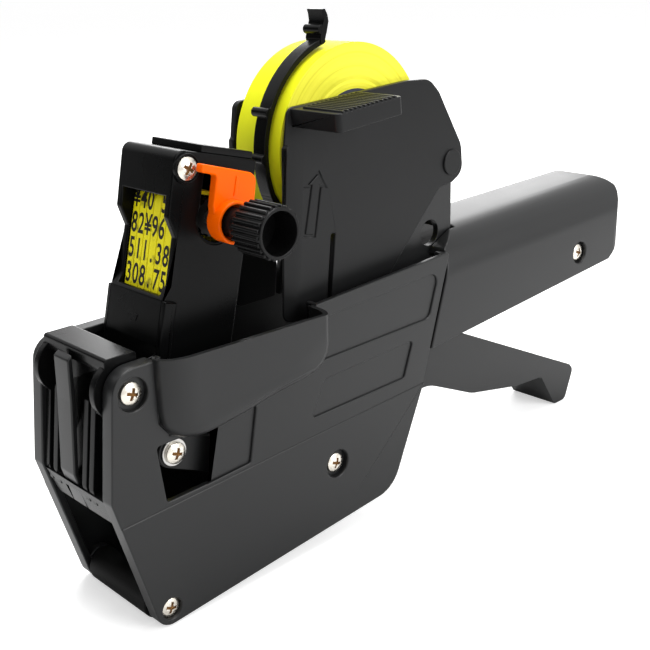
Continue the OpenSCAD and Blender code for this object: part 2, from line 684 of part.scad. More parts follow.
// Roll holder
wall_shares = [[0.712, 0.885, soft_r], [0.785, 1.008, soft_r], [0.93, 1.238, soft_r],
  [0.976, 1.246, soft_r], [1.017, 1.28, corner_r], [1.01, 1.39, corner_r],
  [0.925, 1.61, corner_r], [0.89, 1.662, corner_r], [0.815, 1.667, corner_r], [0.452, 1.633, soft_r],
  [0.441, 1.51, crisp_r], [0.436, 1.5, crisp_r], [0.4255, 1.11, soft_r], [0.417, 0.88, soft_r]];
slit_w = 1.9;
slit_top = at([0.565, 1.158]);
slit_low = at([0.5446, 0.87]);
arrow_depth = 0.5;
arrow_line = 0.7;
arrow_shares = [[0.528, 1.405, 0], [0.483, 1.358, 0], [0.501, 1.353, 0], [0.477, 1.184, 0],
  [0.512, 1.172, 0], [0.533, 1.345, 0], [0.55, 1.34, 0]];
module holder_slab(y0, y1) difference() {
  slab(rounded(scaled(wall_shares)), y0, y1);
  bar(holder_pin, axle_r + fit, -holder_in - clip_l - fit, holder_in + clip_l + fit);
  link(slit_top, slit_w / 2, slit_low, slit_w / 2, y0 - over, y1 + over);
  bar(roll_pin, hub_clip_r + fit, -holder_in - clip_l - fit, holder_in + clip_l + fit);
}
clip_l = 1.4;
holder_out = holder_in + holder_t;
tab_front = 0.462 * body_l;
tab_z = 1.567 * body_h;
tab_lean = 5;
tab_round = 2;
ridges = 13;
ridge_w = 1.1;
ridge_h = 0.7;
hub_clip_r = 5;
wall_foot = at([0.4165, 0.88]);
front_lean = 4.6;
bevel_w = 5.5;
bevel_edge = 0.6;
boss_ring = 4.6;
boss_h = 0.8;
module thumb_tab() translate([tab_front, -holder_out, tab_z]) rotate([0, -tab_lean, 0]) {
  translate([0, -tab_out, 0]) linear_extrude(tab_h) polygon(rounded([
    [0, tab_out + holder_t / 2, 0], [0, 0, tab_round], [tab_l, 0, tab_round],
    [tab_l, tab_out + holder_t / 2, 0]]));
  for (i = [0:ridges - 1]) translate([tab_round + (tab_l - 2 * tab_round) * i / ridges,
    -tab_out, tab_h - fit]) cube([ridge_w, tab_out - tab_round, ridge_h]);
}
module holder_wall_near() color(black) {
  thumb_tab();
  difference() {
    holder_slab(-holder_out, -holder_in);
    slab(rounded(scaled(arrow_shares)), -holder_out - over, -holder_out + arrow_depth);
    // Broad bevel along the front edge
    translate([wall_foot[0], 0, wall_foot[1]]) rotate([0, front_lean, 0])
      linear_extrude(body_h) polygon([[-over, -holder_in - bevel_edge], [bevel_w, -holder_out],
        [bevel_w, -holder_out - over], [-over, -holder_out - over]]);
  }
  // Boss over the rear pivot
  bar(holder_pin, boss_ring, -holder_out - boss_h, -holder_out + arrow_depth);
  slab(rounded(inset(scaled(arrow_shares), arrow_line)),
    -holder_out, -holder_out + arrow_depth + fit);
}
function reverse(v) = [for (i = [len(v) - 1:-1:0]) v[i]];
module holder_wall_far() color(black) holder_slab(holder_in, holder_out);
web_t = 2;
web_gap = 0.8;
web_along = unit(at([0.925, 1.61]) - at([1.01, 1.39]));
web_off = turned(web_along, -90);
web_end_shares = [-0.7, -0.05];
// The bridge between the walls stands just behind the roll, along the rear edge of the walls
module holder_web() color(black) slab([for (p = [[0, 0], [0, 1], [1, 1], [1, 0]])
  roll_pin + web_off * (roll_r + web_gap + web_t * p[0]) + web_along * roll_r
  * web_end_shares[p[1]]], -holder_in, holder_in);
hub_t = 4;
module roll_hub(side) color(dark) mirror([0, side < 0 ? 1 : 0, 0]) {
  bar(roll_pin, core_r - core_wall - pass, holder_in - hub_t, holder_in);
  bar(roll_pin, hub_clip_r, holder_in, holder_in + clip_l);
}
module roll_hub_near() roll_hub(-1);
module roll_hub_far() roll_hub(1);
module holder_pins() color(nickel) both()
  bar(holder_pin, axle_r, ear_in, holder_in + clip_l);

module label_roll() color(yellow) difference() {
  bar(roll_pin, roll_r, -roll_w / 2, roll_w / 2, 96);
  bar(roll_pin, core_r, -roll_w, roll_w, 96);
}
module roll_core() color(card) difference() {
  bar(roll_pin, core_r, -roll_w / 2, roll_w / 2, 96);
  bar(roll_pin, core_r - core_wall, -roll_w, roll_w, 96);
}

// Roll stay: a strap bent round the front of the roll, with cross ribs and a finger tab
stay_y = -4;
stay_w = 5.2;
stay_t = 1.9;
stay_gap = 1;
stay_from_angle = 104.5;
stay_steps = 24;
stay_lap_angle = 2;
stay_to_angle = 200;
stay_foot = 3.2;
stay_neck = 2.9;
stay_rib_r = 1.5;
stay_rib_l = 7.2;
stay_rib_angles = [157.3, 180.3];
stay_in_r = roll_r + stay_gap;
function on_roll(r, a) = roll_pin + r * [cos(a), sin(a)];
// The tab's outline and its rib, as shares of the roll radius from the roll axle
tab_shares = [[-0.318, 0.995], [-0.326, 1.055], [-0.302, 1.138], [-0.277, 1.209], [-0.286, 1.274],
  [-0.3, 1.317], [-0.255, 1.32], [-0.225, 1.265], [-0.212, 1.203], [-0.234, 1.12],
  [-0.262, 1.04], [-0.255, 1.01]];
tab_rib_share = [-0.306, 1.132];
tab_w = 7;
tab_y = -3.5;
stay_strap = concat(
  arc(roll_pin, stay_in_r + stay_t, stay_to_angle + stay_lap_angle, stay_from_angle, stay_steps),
  arc(roll_pin, stay_in_r, stay_from_angle, stay_to_angle + stay_lap_angle, stay_steps));
module roll_stay() color(black) difference() {
  union() {
    slab(stay_strap, stay_y - stay_w / 2, stay_y + stay_w / 2);
    slab([for (p = tab_shares) roll_pin + p * roll_r], tab_y - tab_w / 2, tab_y + tab_w / 2);
    slab([on_roll(stay_in_r + stay_t, stay_to_angle), on_roll(stay_in_r, stay_to_angle),
      stay_pin + [stay_neck, 0], stay_pin - [stay_neck, 0]], stay_y - stay_w / 2,
      stay_y + stay_w / 2);
    bar(stay_pin, stay_foot, stay_y - stay_w / 2, stay_y + stay_w / 2);
    for (a = stay_rib_angles) bar(on_roll(stay_in_r + stay_t, a), stay_rib_r,
      stay_y - stay_w / 2 - pass, stay_y - stay_w / 2 - pass + stay_rib_l);
    bar(roll_pin + tab_rib_share * roll_r, stay_rib_r, stay_y - stay_w / 2 - pass,
      stay_y - stay_w / 2 - pass + stay_rib_l);
  }
  bar(stay_pin, pin_r + fit, -half_w, half_w);
}
module roll_stay_pin() color(nickel) bar(stay_pin, pin_r, -holder_in, holder_in);

// Platen under the head, with its peel edge toward the nose
platen_gap = 0.4;
platen_t = 3;
platen_half = 10;
platen_v = -type_v + stroke[1] - platen_gap;
platen_rear = 8;
platen_front = 13;
platen_lip = 14.5;
platen_post = 3.4;
platen_web = 1.8;
platen_foot = turned(rod_low - knob_pin, lean);
platen_root = platen_foot[1] + (rod_r + platen_post) / 2;
module platen() color(nickel) difference() {
  union() {
    head() slab([[platen_rear, platen_v - platen_t], [platen_rear, platen_v],
      [-platen_front, platen_v], [-platen_lip, platen_v - platen_t / 2],
      [-platen_front, platen_v - platen_t]], -platen_half, platen_half);
    head() slab([[platen_foot[0] - platen_web, platen_root],
      [platen_foot[0] + platen_web, platen_root],
      [platen_foot[0] + platen_web, platen_v - platen_t / 2],
      [platen_foot[0] - platen_web, platen_v - platen_t / 2]], -platen_half, platen_half);
    bar(rod_low, platen_post, -platen_half, platen_half);
  }
  bar(rod_low, rod_r + fit, -half_w, half_w);
}

// Feed wheel, its pawl, and the applicator roller
feed_half = 7.5;
feed_teeth = 10;
module feed_wheel() color(dark) difference() {
  union() {
    bar(feed_pin, feed_r - over, -feed_half, feed_half);
    for (k = [0:feed_teeth - 1]) for (y = [-feed_half + over / 2, over / 2])
      translate([feed_pin[0], y, feed_pin[1]]) rotate([0, 360 * k / feed_teeth, 0])
        translate([feed_r - 2 * over, 0, 0]) cube([2 * over, feed_half - over, over]);
  }
  bar(feed_pin, axle_r / 2 + fit, -half_w, half_w);
}
module feed_axle() color(nickel) {
  bar(feed_pin, axle_r / 2, -plate_in, plate_in);
  bar(pawl_pin, axle_r / 2, -plate_in, plate_in);
}
pawl_r = 2.4;
pawl_tip_r = 0.9;
pawl_half = 2;
pawl_end = feed_pin + [feed_r + 3 * pass + fit, -pawl_half];
module feed_pawl() color(dark) difference() {
  link(pawl_pin, pawl_r, pawl_end, pawl_tip_r, -pawl_half, pawl_half);
  bar(pawl_pin, axle_r / 2 + fit, -half_w, half_w);
}
module applicator_roller() color(black) difference() {
  bar(nose, nose_roller_r, -edge_in + over, edge_in - over, 64);
  bar(nose, axle_r + fit, -half_w, half_w);
}

// Front cover: a top bar on the front axle, a panel with ribs and a lower lip
panel_shares = [[-0.0425, 0.945, 0], [-0.0615, 0.53, 0], [-0.049, 0.42, 0], [-0.033, 0.42, 0],
  [-0.0455, 0.53, 0], [-0.027, 0.945, 0]];
rib_shares = [[-0.0585, 0.815, 0], [-0.0845, 0.53, 0], [-0.079, 0.47, 0], [-0.056, 0.47, 0],
  [-0.061, 0.53, 0], [-0.0435, 0.815, 0]];
bar_shares = [[-0.054, 0.93, 0], [0.018, 0.93, crisp_r], [0.018, 0.976, crisp_r],
  [-0.054, 0.976, crisp_r]];
rib_places = [0.42, 0.632, -0.314, -0.482];
front_rib_w = 2.4;
panel_half = ink_arm_in - pass;
knuckle_r = 9.2;
lip_shares = [[-0.0855, 0.51, 0], [-0.0655, 0.415, 0], [-0.038, 0.415, 0],
  [-0.053, 0.53, 0]];
module front_cover() color(black) difference() {
  union() {
    slab([for (p = scaled(panel_shares)) flat(p)], -panel_half, panel_half);
    for (y = rib_places * half_w)
      slab([for (p = scaled(rib_shares)) flat(p)], y, y + front_rib_w);
    slab(rounded(scaled(bar_shares)), -cover_half, cover_half);
    slab([for (p = scaled(lip_shares)) flat(p)], -cover_half, cover_half);
    both() bar(front_pin, knuckle_r, ink_arm_in + ink_arm_t + pass, cover_half);
  }
  bar(front_pin, axle_r + fit, -half_w, half_w);
  // Slot for the tongue
  slab(rounded(inset(scaled(tongue_shares), -pass)), tongue_y - pass,
    tongue_y + tongue_w + pass);
}
tongue_y = -1.6;
tongue_w = 7.8;
tongue_shares = [[-0.0625, 0.955, 0], [-0.074, 0.94, 0], [-0.077, 0.8, hip_r],
  [-0.0885, 0.55, soft_r], [-0.0665, 0.415, 0], [-0.0575, 0.43, 0], [-0.077, 0.55, soft_r],
  [-0.064, 0.8, hip_r]];
module front_tongue() color(dark) slab(rounded(scaled(tongue_shares)),
  tongue_y, tongue_y + tongue_w);

// Bottom cover on its rear pin, held by a sliding latch
cover_t = 2;
cover_lift = 0.5;
knuckle_small = 2.9;
cover_front = at([0.1, 0.006]) + [0, cover_lift];
cover_rear = at([0.6, 0.075]) + [0, cover_lift];
cover_lean = atan2(cover_rear[1] - cover_front[1], cover_rear[0] - cover_front[0]);
latch_l = 9;
cover_from_angle = -40;
cover_to_angle = 140;
latch_half = 4;
latch_x = 9;
latch_travel = 4;
latch_t = 1.2;
latch_rim = 1.6;
// Shapes drawn along the bottom line, from the front end of the cover
module on_bottom() translate([cover_front[0], 0, cover_front[1]]) rotate([0, -cover_lean, 0])
  children();
module block(x0, x1, half, z0, z1) translate([x0, -half, z0])
  cube([x1 - x0, 2 * half, z1 - z0]);
module bottom_cover() color(black) difference() {
  slab(concat([cover_front, cover_rear],
    arc(cover_pin, knuckle_small, cover_from_angle, cover_to_angle, 2 * round_steps),
    [cover_rear + [-2 * cover_t, cover_t], cover_front + [0, cover_t]]), -cover_half, cover_half);
  bar(cover_pin, pin_r + fit, -half_w, half_w);
  on_bottom() block(latch_x - pass, latch_x + latch_l + latch_travel + pass, latch_half + fit,
    -over, cover_t + over);
}
module bottom_pin() color(nickel) bar(cover_pin, pin_r, -plate_in, plate_in);
module bottom_latch() color(dark) on_bottom() {
  block(latch_x, latch_x + latch_l, latch_half, pass, cover_t + pass + latch_t);
  block(latch_x - latch_rim, latch_x + latch_l, latch_half + latch_rim, cover_t + pass,
    cover_t + pass + latch_t);
}

place() side_plate_near();
place() side_plate_far();
place() handle();
place() handle_spacer();
place() handle_screws();
place() inner_frame_near();
place() inner_frame_far();
place() frame_rods();
place() nose_axle();
place() front_axle();
place() main_axle();
place() return_spring();
place() platen();
place() side_screws_near();
place() side_screws_far();
place() squeeze_lever();
place() yoke_arm_near();
place() yoke_arm_far();
place() yoke_pin();
place() head_housing();
place() head_top_plate();
place() head_screws();
place() stud_screws();
place() stud_bushes();
place() print_bands();
place() band_guide();
place() print_anvil();
place() selector_wheel_1();
place() selector_wheel_2();
place() selector_wheel_3();
place() selector_wheel_4();
place() selector_wheel_5();
place() selector_wheel_6();
place() pointer();
place() selector_shaft();
place() selector_knob();
place() ink_arms();
place() ink_roller_core();
place() ink_roller_felt();
place() holder_wall_near();
place() holder_wall_far();
place() holder_web();
place() roll_hub_near();
place() roll_hub_far();
place() holder_pins();
place() label_roll();
place() roll_core();
place() roll_stay();
place() roll_stay_pin();
place() feed_wheel();
place() feed_axle();
place() feed_pawl();
place() applicator_roller();
place() front_cover();
place() front_tongue();
place() bottom_cover();
place() bottom_pin();
place() bottom_latch();
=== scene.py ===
# A hand-held price labeler on a white sweep: black moulded body, bright label roll, orange pointer.
import json
import math
import random

import bmesh
import bpy
from mathutils import Matrix, Vector


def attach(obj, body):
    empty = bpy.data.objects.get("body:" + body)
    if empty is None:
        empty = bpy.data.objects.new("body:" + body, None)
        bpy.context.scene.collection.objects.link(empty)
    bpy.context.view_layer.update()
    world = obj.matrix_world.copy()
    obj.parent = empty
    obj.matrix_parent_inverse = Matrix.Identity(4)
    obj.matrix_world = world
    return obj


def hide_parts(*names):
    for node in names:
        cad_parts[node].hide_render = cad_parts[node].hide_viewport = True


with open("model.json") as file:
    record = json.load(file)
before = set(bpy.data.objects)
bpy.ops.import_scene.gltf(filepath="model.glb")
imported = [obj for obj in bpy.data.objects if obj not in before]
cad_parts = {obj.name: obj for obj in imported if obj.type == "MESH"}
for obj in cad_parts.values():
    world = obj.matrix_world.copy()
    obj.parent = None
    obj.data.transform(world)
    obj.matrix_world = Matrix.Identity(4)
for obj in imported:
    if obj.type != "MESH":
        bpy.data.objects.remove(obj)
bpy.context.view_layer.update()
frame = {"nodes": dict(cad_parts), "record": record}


# Camera
# A long lens held above and ahead of the nose, turned to show the knob side and the front,
# where the photograph was taken from.
camera_at = Vector((-0.26144, -0.2411, 0.1898))
camera_sight = Vector((0.6451, 0.6873, -0.3337))
camera_roll = math.radians(-1.66)
camera_lens = 57.77
camera_data = bpy.data.cameras.new("camera")
camera_data.lens = camera_lens
camera_data.sensor_width = 36
camera_data.clip_start = 0.01
camera = bpy.data.objects.new("camera", camera_data)
bpy.context.collection.objects.link(camera)
camera_turn = camera_sight.to_track_quat("-Z", "Y").to_matrix().to_4x4()
camera.matrix_world = (Matrix.Translation(camera_at) @ camera_turn
                       @ Matrix.Rotation(camera_roll, 4, "Z"))
scene = bpy.context.scene
scene.camera = camera


# Studio
# A pale floor that runs out of sight, a white backdrop that the camera and the shiny parts
# see, three soft lamps, and a black flag ahead of the nose that only mirrored light meets.
scene.view_settings.view_transform = "Standard"
world = bpy.data.worlds.new("studio")
scene.world = world
world.use_nodes = True
world_nodes = world.node_tree.nodes
world_links = world.node_tree.links
fill_light = world_nodes["Background"]
fill_light.inputs["Color"].default_value = (1, 1, 1, 1)
fill_light.inputs["Strength"].default_value = 0.55
white_back = world_nodes.new("ShaderNodeBackground")
white_back.inputs["Color"].default_value = (1, 1, 1, 1)
white_back.inputs["Strength"].default_value = 1.0
backdrop_mix = world_nodes.new("ShaderNodeMixShader")
backdrop_path = world_nodes.new("ShaderNodeLightPath")
seen_shiny = world_nodes.new("ShaderNodeMath")
seen_shiny.operation = "MAXIMUM"
seen_any = world_nodes.new("ShaderNodeMath")
seen_any.operation = "MAXIMUM"
world_links.new(backdrop_path.outputs["Is Glossy Ray"], seen_shiny.inputs[0])
world_links.new(backdrop_path.outputs["Is Transmission Ray"], seen_shiny.inputs[1])
world_links.new(backdrop_path.outputs["Is Camera Ray"], seen_any.inputs[0])
world_links.new(seen_shiny.outputs[0], seen_any.inputs[1])
world_links.new(seen_any.outputs[0], backdrop_mix.inputs["Fac"])
world_links.new(fill_light.outputs[0], backdrop_mix.inputs[1])
world_links.new(white_back.outputs[0], backdrop_mix.inputs[2])
world_links.new(backdrop_mix.outputs[0], world_nodes["World Output"].inputs["Surface"])


def soft_lamp(name, place, aim, size, power):
    """A square soft box at a place, turned toward its aim."""
    lamp_data = bpy.data.lights.new(name, "AREA")
    lamp_data.shape = "SQUARE"
    lamp_data.size = size
    lamp_data.energy = power
    lamp = bpy.data.objects.new(name, lamp_data)
    bpy.context.collection.objects.link(lamp)
    lamp.location = place
    lamp.rotation_euler = (Vector(aim) - Vector(place)).to_track_quat("-Z", "Y").to_euler()


body_middle = (0, 0, 0.08)
soft_lamp("top soft box", (0.05, 0.1, 0.9), body_middle, size=0.6, power=9)
soft_lamp("knob side soft box", (0.25, -0.9, 0.5), body_middle, size=0.6, power=7)
soft_lamp("rear soft box", (0.8, 0.85, 0.5), body_middle, size=0.8, power=6)


def studio_sheet(name, half_side, place, look):
    """A flat square sheet of the studio, which isn't part of the object."""
    sheet = bmesh.new()
    bmesh.ops.create_grid(sheet, x_segments=1, y_segments=1, size=half_side, matrix=place)
    sheet_data = bpy.data.meshes.new(name)
    sheet.to_mesh(sheet_data)
    sheet.free()
    sheet_data.materials.append(look)
    sheet_object = bpy.data.objects.new(name, sheet_data)
    bpy.context.collection.objects.link(sheet_object)
    return sheet_object


floor_glow = 0.5
floor_look = bpy.data.materials.new("pale_floor")
floor_look.use_nodes = True
floor_nodes = floor_look.node_tree.nodes
floor_links = floor_look.node_tree.links
floor_shader = floor_nodes["Principled BSDF"]
floor_shader.inputs["Base Color"].default_value = (0.86, 0.86, 0.86, 1)
floor_shader.inputs["Roughness"].default_value = 0.95
floor_shader.inputs["Specular IOR Level"].default_value = 0.1
floor_shader.inputs["Emission Color"].default_value = (1, 1, 1, 1)
floor_path = floor_nodes.new("ShaderNodeLightPath")
floor_lift = floor_nodes.new("ShaderNodeMath")
floor_lift.operation = "MULTIPLY"
floor_lift.inputs[1].default_value = floor_glow
floor_links.new(floor_path.outputs["Is Camera Ray"], floor_lift.inputs[0])
floor_links.new(floor_lift.outputs[0], floor_shader.inputs["Emission Strength"])
floor = studio_sheet("floor", half_side=8, place=Matrix.Identity(4), look=floor_look)

flag_place = Matrix.Translation((-0.95, 0.5, 0.6))
flag_upright = Matrix.Rotation(math.radians(90), 4, "Y")
flag_stretch = Matrix.Diagonal((1, 2.2, 1, 1))
flag_look = bpy.data.materials.new("flag_cloth")
flag_look.use_nodes = True
flag_shader = flag_look.node_tree.nodes["Principled BSDF"]
flag_shader.inputs["Base Color"].default_value = (0.01, 0.01, 0.01, 1)
flag_shader.inputs["Roughness"].default_value = 1
flag = studio_sheet("black_flag", half_side=0.5, place=flag_place @ flag_upright @ flag_stretch,
                    look=flag_look)
flag.visible_camera = False
flag.visible_diffuse = False
flag.visible_shadow = False


# Side plates
# The two moulded halves of the body in black satin plastic. Three cross-head screws in sunk
# seats hold each on the axles. Their fields are bare.
def moulded_grain():
    """A node group: the fine texture of a tool-marked plastic surface, and how it varies."""
    group = bpy.data.node_groups.new("moulded_grain", "ShaderNodeTree")
    for name in ("Scale", "Roughness", "Spread"):
        group.interface.new_socket(name, in_out="INPUT", socket_type="NodeSocketFloat")
    for name in ("Roughness", "Height", "Cloud"):
        group.interface.new_socket(name, in_out="OUTPUT", socket_type="NodeSocketFloat")
    nodes = group.nodes
    links = group.links
    inside = nodes.new("NodeGroupInput")
    outside = nodes.new("NodeGroupOutput")
    place = nodes.new("ShaderNodeTexCoord")
    fine = nodes.new("ShaderNodeTexNoise")
    fine.inputs["Detail"].default_value = 3
    cloud = nodes.new("ShaderNodeTexNoise")
    cloud.inputs["Scale"].default_value = 45
    cloud.inputs["Detail"].default_value = 4
    spread = nodes.new("ShaderNodeMath")
    spread.operation = "MULTIPLY_ADD"
    centred = nodes.new("ShaderNodeMath")
    centred.operation = "SUBTRACT"
    centred.inputs[1].default_value = 0.5
    links.new(place.outputs["Object"], fine.inputs["Vector"])
    links.new(place.outputs["Object"], cloud.inputs["Vector"])
    links.new(inside.outputs["Scale"], fine.inputs["Scale"])
    links.new(cloud.outputs["Fac"], centred.inputs[0])
    links.new(centred.outputs[0], spread.inputs[0])
    links.new(inside.outputs["Spread"], spread.inputs[1])
    links.new(inside.outputs["Roughness"], spread.inputs[2])
    links.new(spread.outputs[0], outside.inputs["Roughness"])
    links.new(fine.outputs["Fac"], outside.inputs["Height"])
    links.new(cloud.outputs["Fac"], outside.inputs["Cloud"])
    return group


grain_group = moulded_grain()
tone_swing = 0.07


def moulded_look(name, colour, roughness, grain=3200, depth=0.25, gloss=0.35):
    """Plastic, rubber, felt or card: its colour, its satin and its fine grain."""
    look = bpy.data.materials.new(name)
    look.use_nodes = True
    nodes = look.node_tree.nodes
    links = look.node_tree.links
    shader = nodes["Principled BSDF"]
    shader.inputs["Specular IOR Level"].default_value = gloss
    grain_node = nodes.new("ShaderNodeGroup")
    grain_node.node_tree = grain_group
    grain_node.inputs["Scale"].default_value = grain
    grain_node.inputs["Roughness"].default_value = roughness
    grain_node.inputs["Spread"].default_value = 0.06
    tone = nodes.new("ShaderNodeMix")
    tone.data_type = "RGBA"
    tone.inputs["A"].default_value = (*[c * (1 - tone_swing) for c in colour], 1)
    tone.inputs["B"].default_value = (*[c * (1 + tone_swing) for c in colour], 1)
    bump = nodes.new("ShaderNodeBump")
    bump.inputs["Strength"].default_value = depth
    bump.inputs["Distance"].default_value = 0.00006
    links.new(grain_node.outputs["Cloud"], tone.inputs["Factor"])
    links.new(tone.outputs["Result"], shader.inputs["Base Color"])
    links.new(grain_node.outputs["Roughness"], shader.inputs["Roughness"])
    links.new(grain_node.outputs["Height"], bump.inputs["Height"])
    links.new(bump.outputs["Normal"], shader.inputs["Normal"])
    return look


node_bodies = {}
for body, members in frame["record"]["behaviour"]["bodies"].items():
    for node in members:
        node_bodies[node] = body
satin_black = moulded_look("satin_black", (0.009, 0.0093, 0.0096), roughness=0.36)
corner_angle = math.radians(30)


def set_down(shape, name, look, node, rounding=0):
    """A finished mesh as a piece that rides where its CAD node rides, its corners rounded."""
    for face in shape.faces:
        face.smooth = True
    weight = shape.edges.layers.float.new("bevel_weight_edge")
    for edge in shape.edges:
        turn = edge.calc_face_angle_signed(0)
        if abs(turn) > corner_angle:
            edge[weight] = 1 if rounding and turn > 0 else 0
            edge.smooth = edge[weight] == 1
    data = bpy.data.meshes.new(name)
    shape.to_mesh(data)
    shape.free()
    data.materials.append(look)
    piece = bpy.data.objects.new(name, data)
    bpy.context.collection.objects.link(piece)
    if rounding:
        corners = piece.modifiers.new("rounded corners", "BEVEL")
        corners.width = rounding
        corners.segments = 2
        corners.limit_method = "WEIGHT"
        corners.use_clamp_overlap = False
        even = piece.modifiers.new("even shading", "WEIGHTED_NORMAL")
        even.keep_sharp = True
        even.weight = 100
    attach(piece, node_bodies[node])
    return piece


def whole(shape):
    """All that a mesh holds, for an operator that cuts right through it."""
    return shape.verts[:] + shape.edges[:] + shape.faces[:]


def edges_in(parts):
    """The edges among the parts that an operator hands back."""
    return [part for part in parts if isinstance(part, bmesh.types.BMEdge)]


weld_distance = 0.000002
flat_angle = math.radians(0.4)


def node_shape(node, splits=()):
    """A CAD node's mesh with its triangles joined up into whole faces, split where asked."""
    shape = bmesh.new()
    shape.from_mesh(frame["nodes"][node].data)
    bmesh.ops.remove_doubles(shape, verts=shape.verts, dist=weld_distance)
    for place, facing in splits:
        split = bmesh.ops.bisect_plane(shape, geom=whole(shape), plane_co=place,
                                       plane_no=facing)
        for edge in edges_in(split["geom_cut"]):
            edge.seam = True
    bmesh.ops.dissolve_limit(shape, angle_limit=flat_angle, verts=shape.verts,
                             edges=shape.edges, delimit={"SEAM"})
    return shape


def moulded(node, name, look, rounding, splits=()):
    """A CAD node with its moulded corner radii put on, standing for that node."""
    piece = set_down(node_shape(node, splits), name, look, node, rounding)
    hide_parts(node)
    return piece


front_corner_x = 116.7325
middle_plane_y = 9.25


def spot(x, y, z):
    """A place in millimetres from the front corner and the middle plane of the body."""
    return Vector((x - front_corner_x, y + middle_plane_y, z)) / 1000


# The plates' wide faces are split at the screw seats and the trough, so that no long
# triangle strays across them when their corners are rounded.
plate_splits = [(spot(x, 0, 0), (1, 0, 0)) for x in (-2.9, 3.5, 34, 73.8)]
plate_radius = 0.0005
moulded("side_plate_far", "far_side_plate", satin_black,
        rounding=plate_radius, splits=plate_splits)

# The CAD trough is cut off just outside the near plate's face, and the hole is closed. The
# rounded trough of the next section covers it.
trough_cut = spot(0, -22.02, 0)
near_plate = node_shape("side_plate_near", plate_splits)
cut = bmesh.ops.bisect_plane(near_plate, geom=whole(near_plate), dist=0.0000005,
                             plane_co=trough_cut, plane_no=(0, 1, 0), clear_inner=True)
bmesh.ops.triangle_fill(near_plate, use_beauty=True, normal=(0, -1, 0),
                        edges=edges_in(cut["geom_cut"]))
near_side_plate = set_down(near_plate, "near_side_plate", satin_black,
                           "side_plate_near", rounding=plate_radius)
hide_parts("side_plate_near")


# Knob trough
# The smooth pocket moulded on the near plate, where the knob comes down with the head. Its
# rear lobe stands out furthest.
trough_foot = [(4.6, 96), (4.4, 80), (4.5, 70), (5.2, 65.4), (7.6, 62.2), (11.5, 60.2),
               (16, 59.3), (22, 59.9), (32, 61.4), (44, 63.5), (55, 65.7), (60.5, 67),
               (63.8, 69), (65.6, 72), (66.2, 76), (66.2, 96)]
trough_brow = [(15.4, 96), (15.0, 80), (15.0, 70.5), (15.6, 67.5), (16.8, 65.6), (18.6, 64.6),
               (21, 64.2), (25, 64.2), (33, 65.2), (44, 67.1), (53, 69), (57, 70.2),
               (60, 72), (61.8, 74.4), (62.4, 77), (62.4, 96)]
trough_rim = 85.95
trough_root_y = -21.2
trough_face_y = -21.9
trough_depth = 6.3
trough_steps = 8
lobe_start = 47
lobe_run = 9
lobe_depth = 2.1
longest_edge = 0.004
trough = bmesh.new()
row = [trough.verts.new(spot(x, trough_root_y, z)) for x, z in trough_foot]
row_edges = [trough.edges.new(pair) for pair in zip(row, row[1:])]
for step in range(1, trough_steps + 1):
    lifted = edges_in(bmesh.ops.extrude_edge_only(trough, edges=row_edges)["geom"])
    row_edges = [e for e in lifted if all(v not in row for v in e.verts)]
    risen = {v for e in row_edges for v in e.verts}
    row = [next(e.other_vert(v) for e in v.link_edges if e.other_vert(v) in risen) for v in row]
    turn = math.radians(90 * step / trough_steps)
    share = 1 - math.cos(turn)
    for vert, (foot_x, foot_z), (brow_x, brow_z) in zip(row, trough_foot, trough_brow):
        x = foot_x + (brow_x - foot_x) * share
        z = foot_z + (brow_z - foot_z) * share
        lobe = min(max((x - lobe_start) / lobe_run, 0), 1)
        depth = trough_depth + lobe_depth * lobe * lobe * (3 - 2 * lobe)
        vert.co = spot(x, trough_face_y - depth * math.sin(turn), z)
trough.faces.new(row)
bmesh.ops.triangulate(trough, faces=[f for f in trough.faces if len(f.verts) > 4])
bmesh.ops.subdivide_edges(trough, cuts=2, use_grid_fill=True,
                          edges=[e for e in trough.edges if e.calc_length() > longest_edge])
bmesh.ops.bisect_plane(trough, geom=whole(trough), plane_co=spot(0, 0, trough_rim),
                       plane_no=(0, 0, 1), clear_outer=True)
bmesh.ops.recalc_face_normals(trough, faces=trough.faces)
if sum(f.normal.y * f.calc_area() for f in trough.faces) > 0:
    bmesh.ops.reverse_faces(trough, faces=trough.faces)
knob_trough = set_down(trough, "knob_trough", satin_black, "side_plate_near")
trough_wall = knob_trough.modifiers.new("wall", "SOLIDIFY")
trough_wall.thickness = 0.0016
trough_wall.offset = -1
trough_edge = knob_trough.modifiers.new("rounded rim", "BEVEL")
trough_edge.width = 0.0005
trough_edge.segments = 2
trough_edge.limit_method = "ANGLE"
trough_edge.angle_limit = math.radians(50)
trough_edge.harden_normals = True


# Handle
# One moulded grip behind the body, crowned on top and open below, with its spacer inside.
smooth_black = moulded_look("smooth_black", (0.010, 0.0103, 0.0106), roughness=0.38, grain=2600,
                            depth=0.18, gloss=0.33)
moulded("handle", "grip", smooth_black, rounding=0.0006)
inner_black = moulded_look("inner_black", (0.006, 0.0062, 0.0064), roughness=0.42, gloss=0.25)


def dress(look, *nodes):
    """Gives CAD nodes that stay as they are their own finish."""
    for node in nodes:
        for place in frame["nodes"][node].material_slots:
            place.material = look


dress(inner_black, "handle_spacer")


# Inner frames
# Two flat plates inside the body whose ears carry the roll holder and a hanging hole.
for side in ("near", "far"):
    moulded(f"inner_frame_{side}", f"{side}_inner_frame", satin_black,
            rounding=0.0002)


# Axles, rods and springs
# Turned steel bars that the plates and arms sit on, drawn wire for the spring, and the
# bent plate under the print head.
smoothest_share = 0.6
roughest_share = 1.5
dullest_share = 0.8


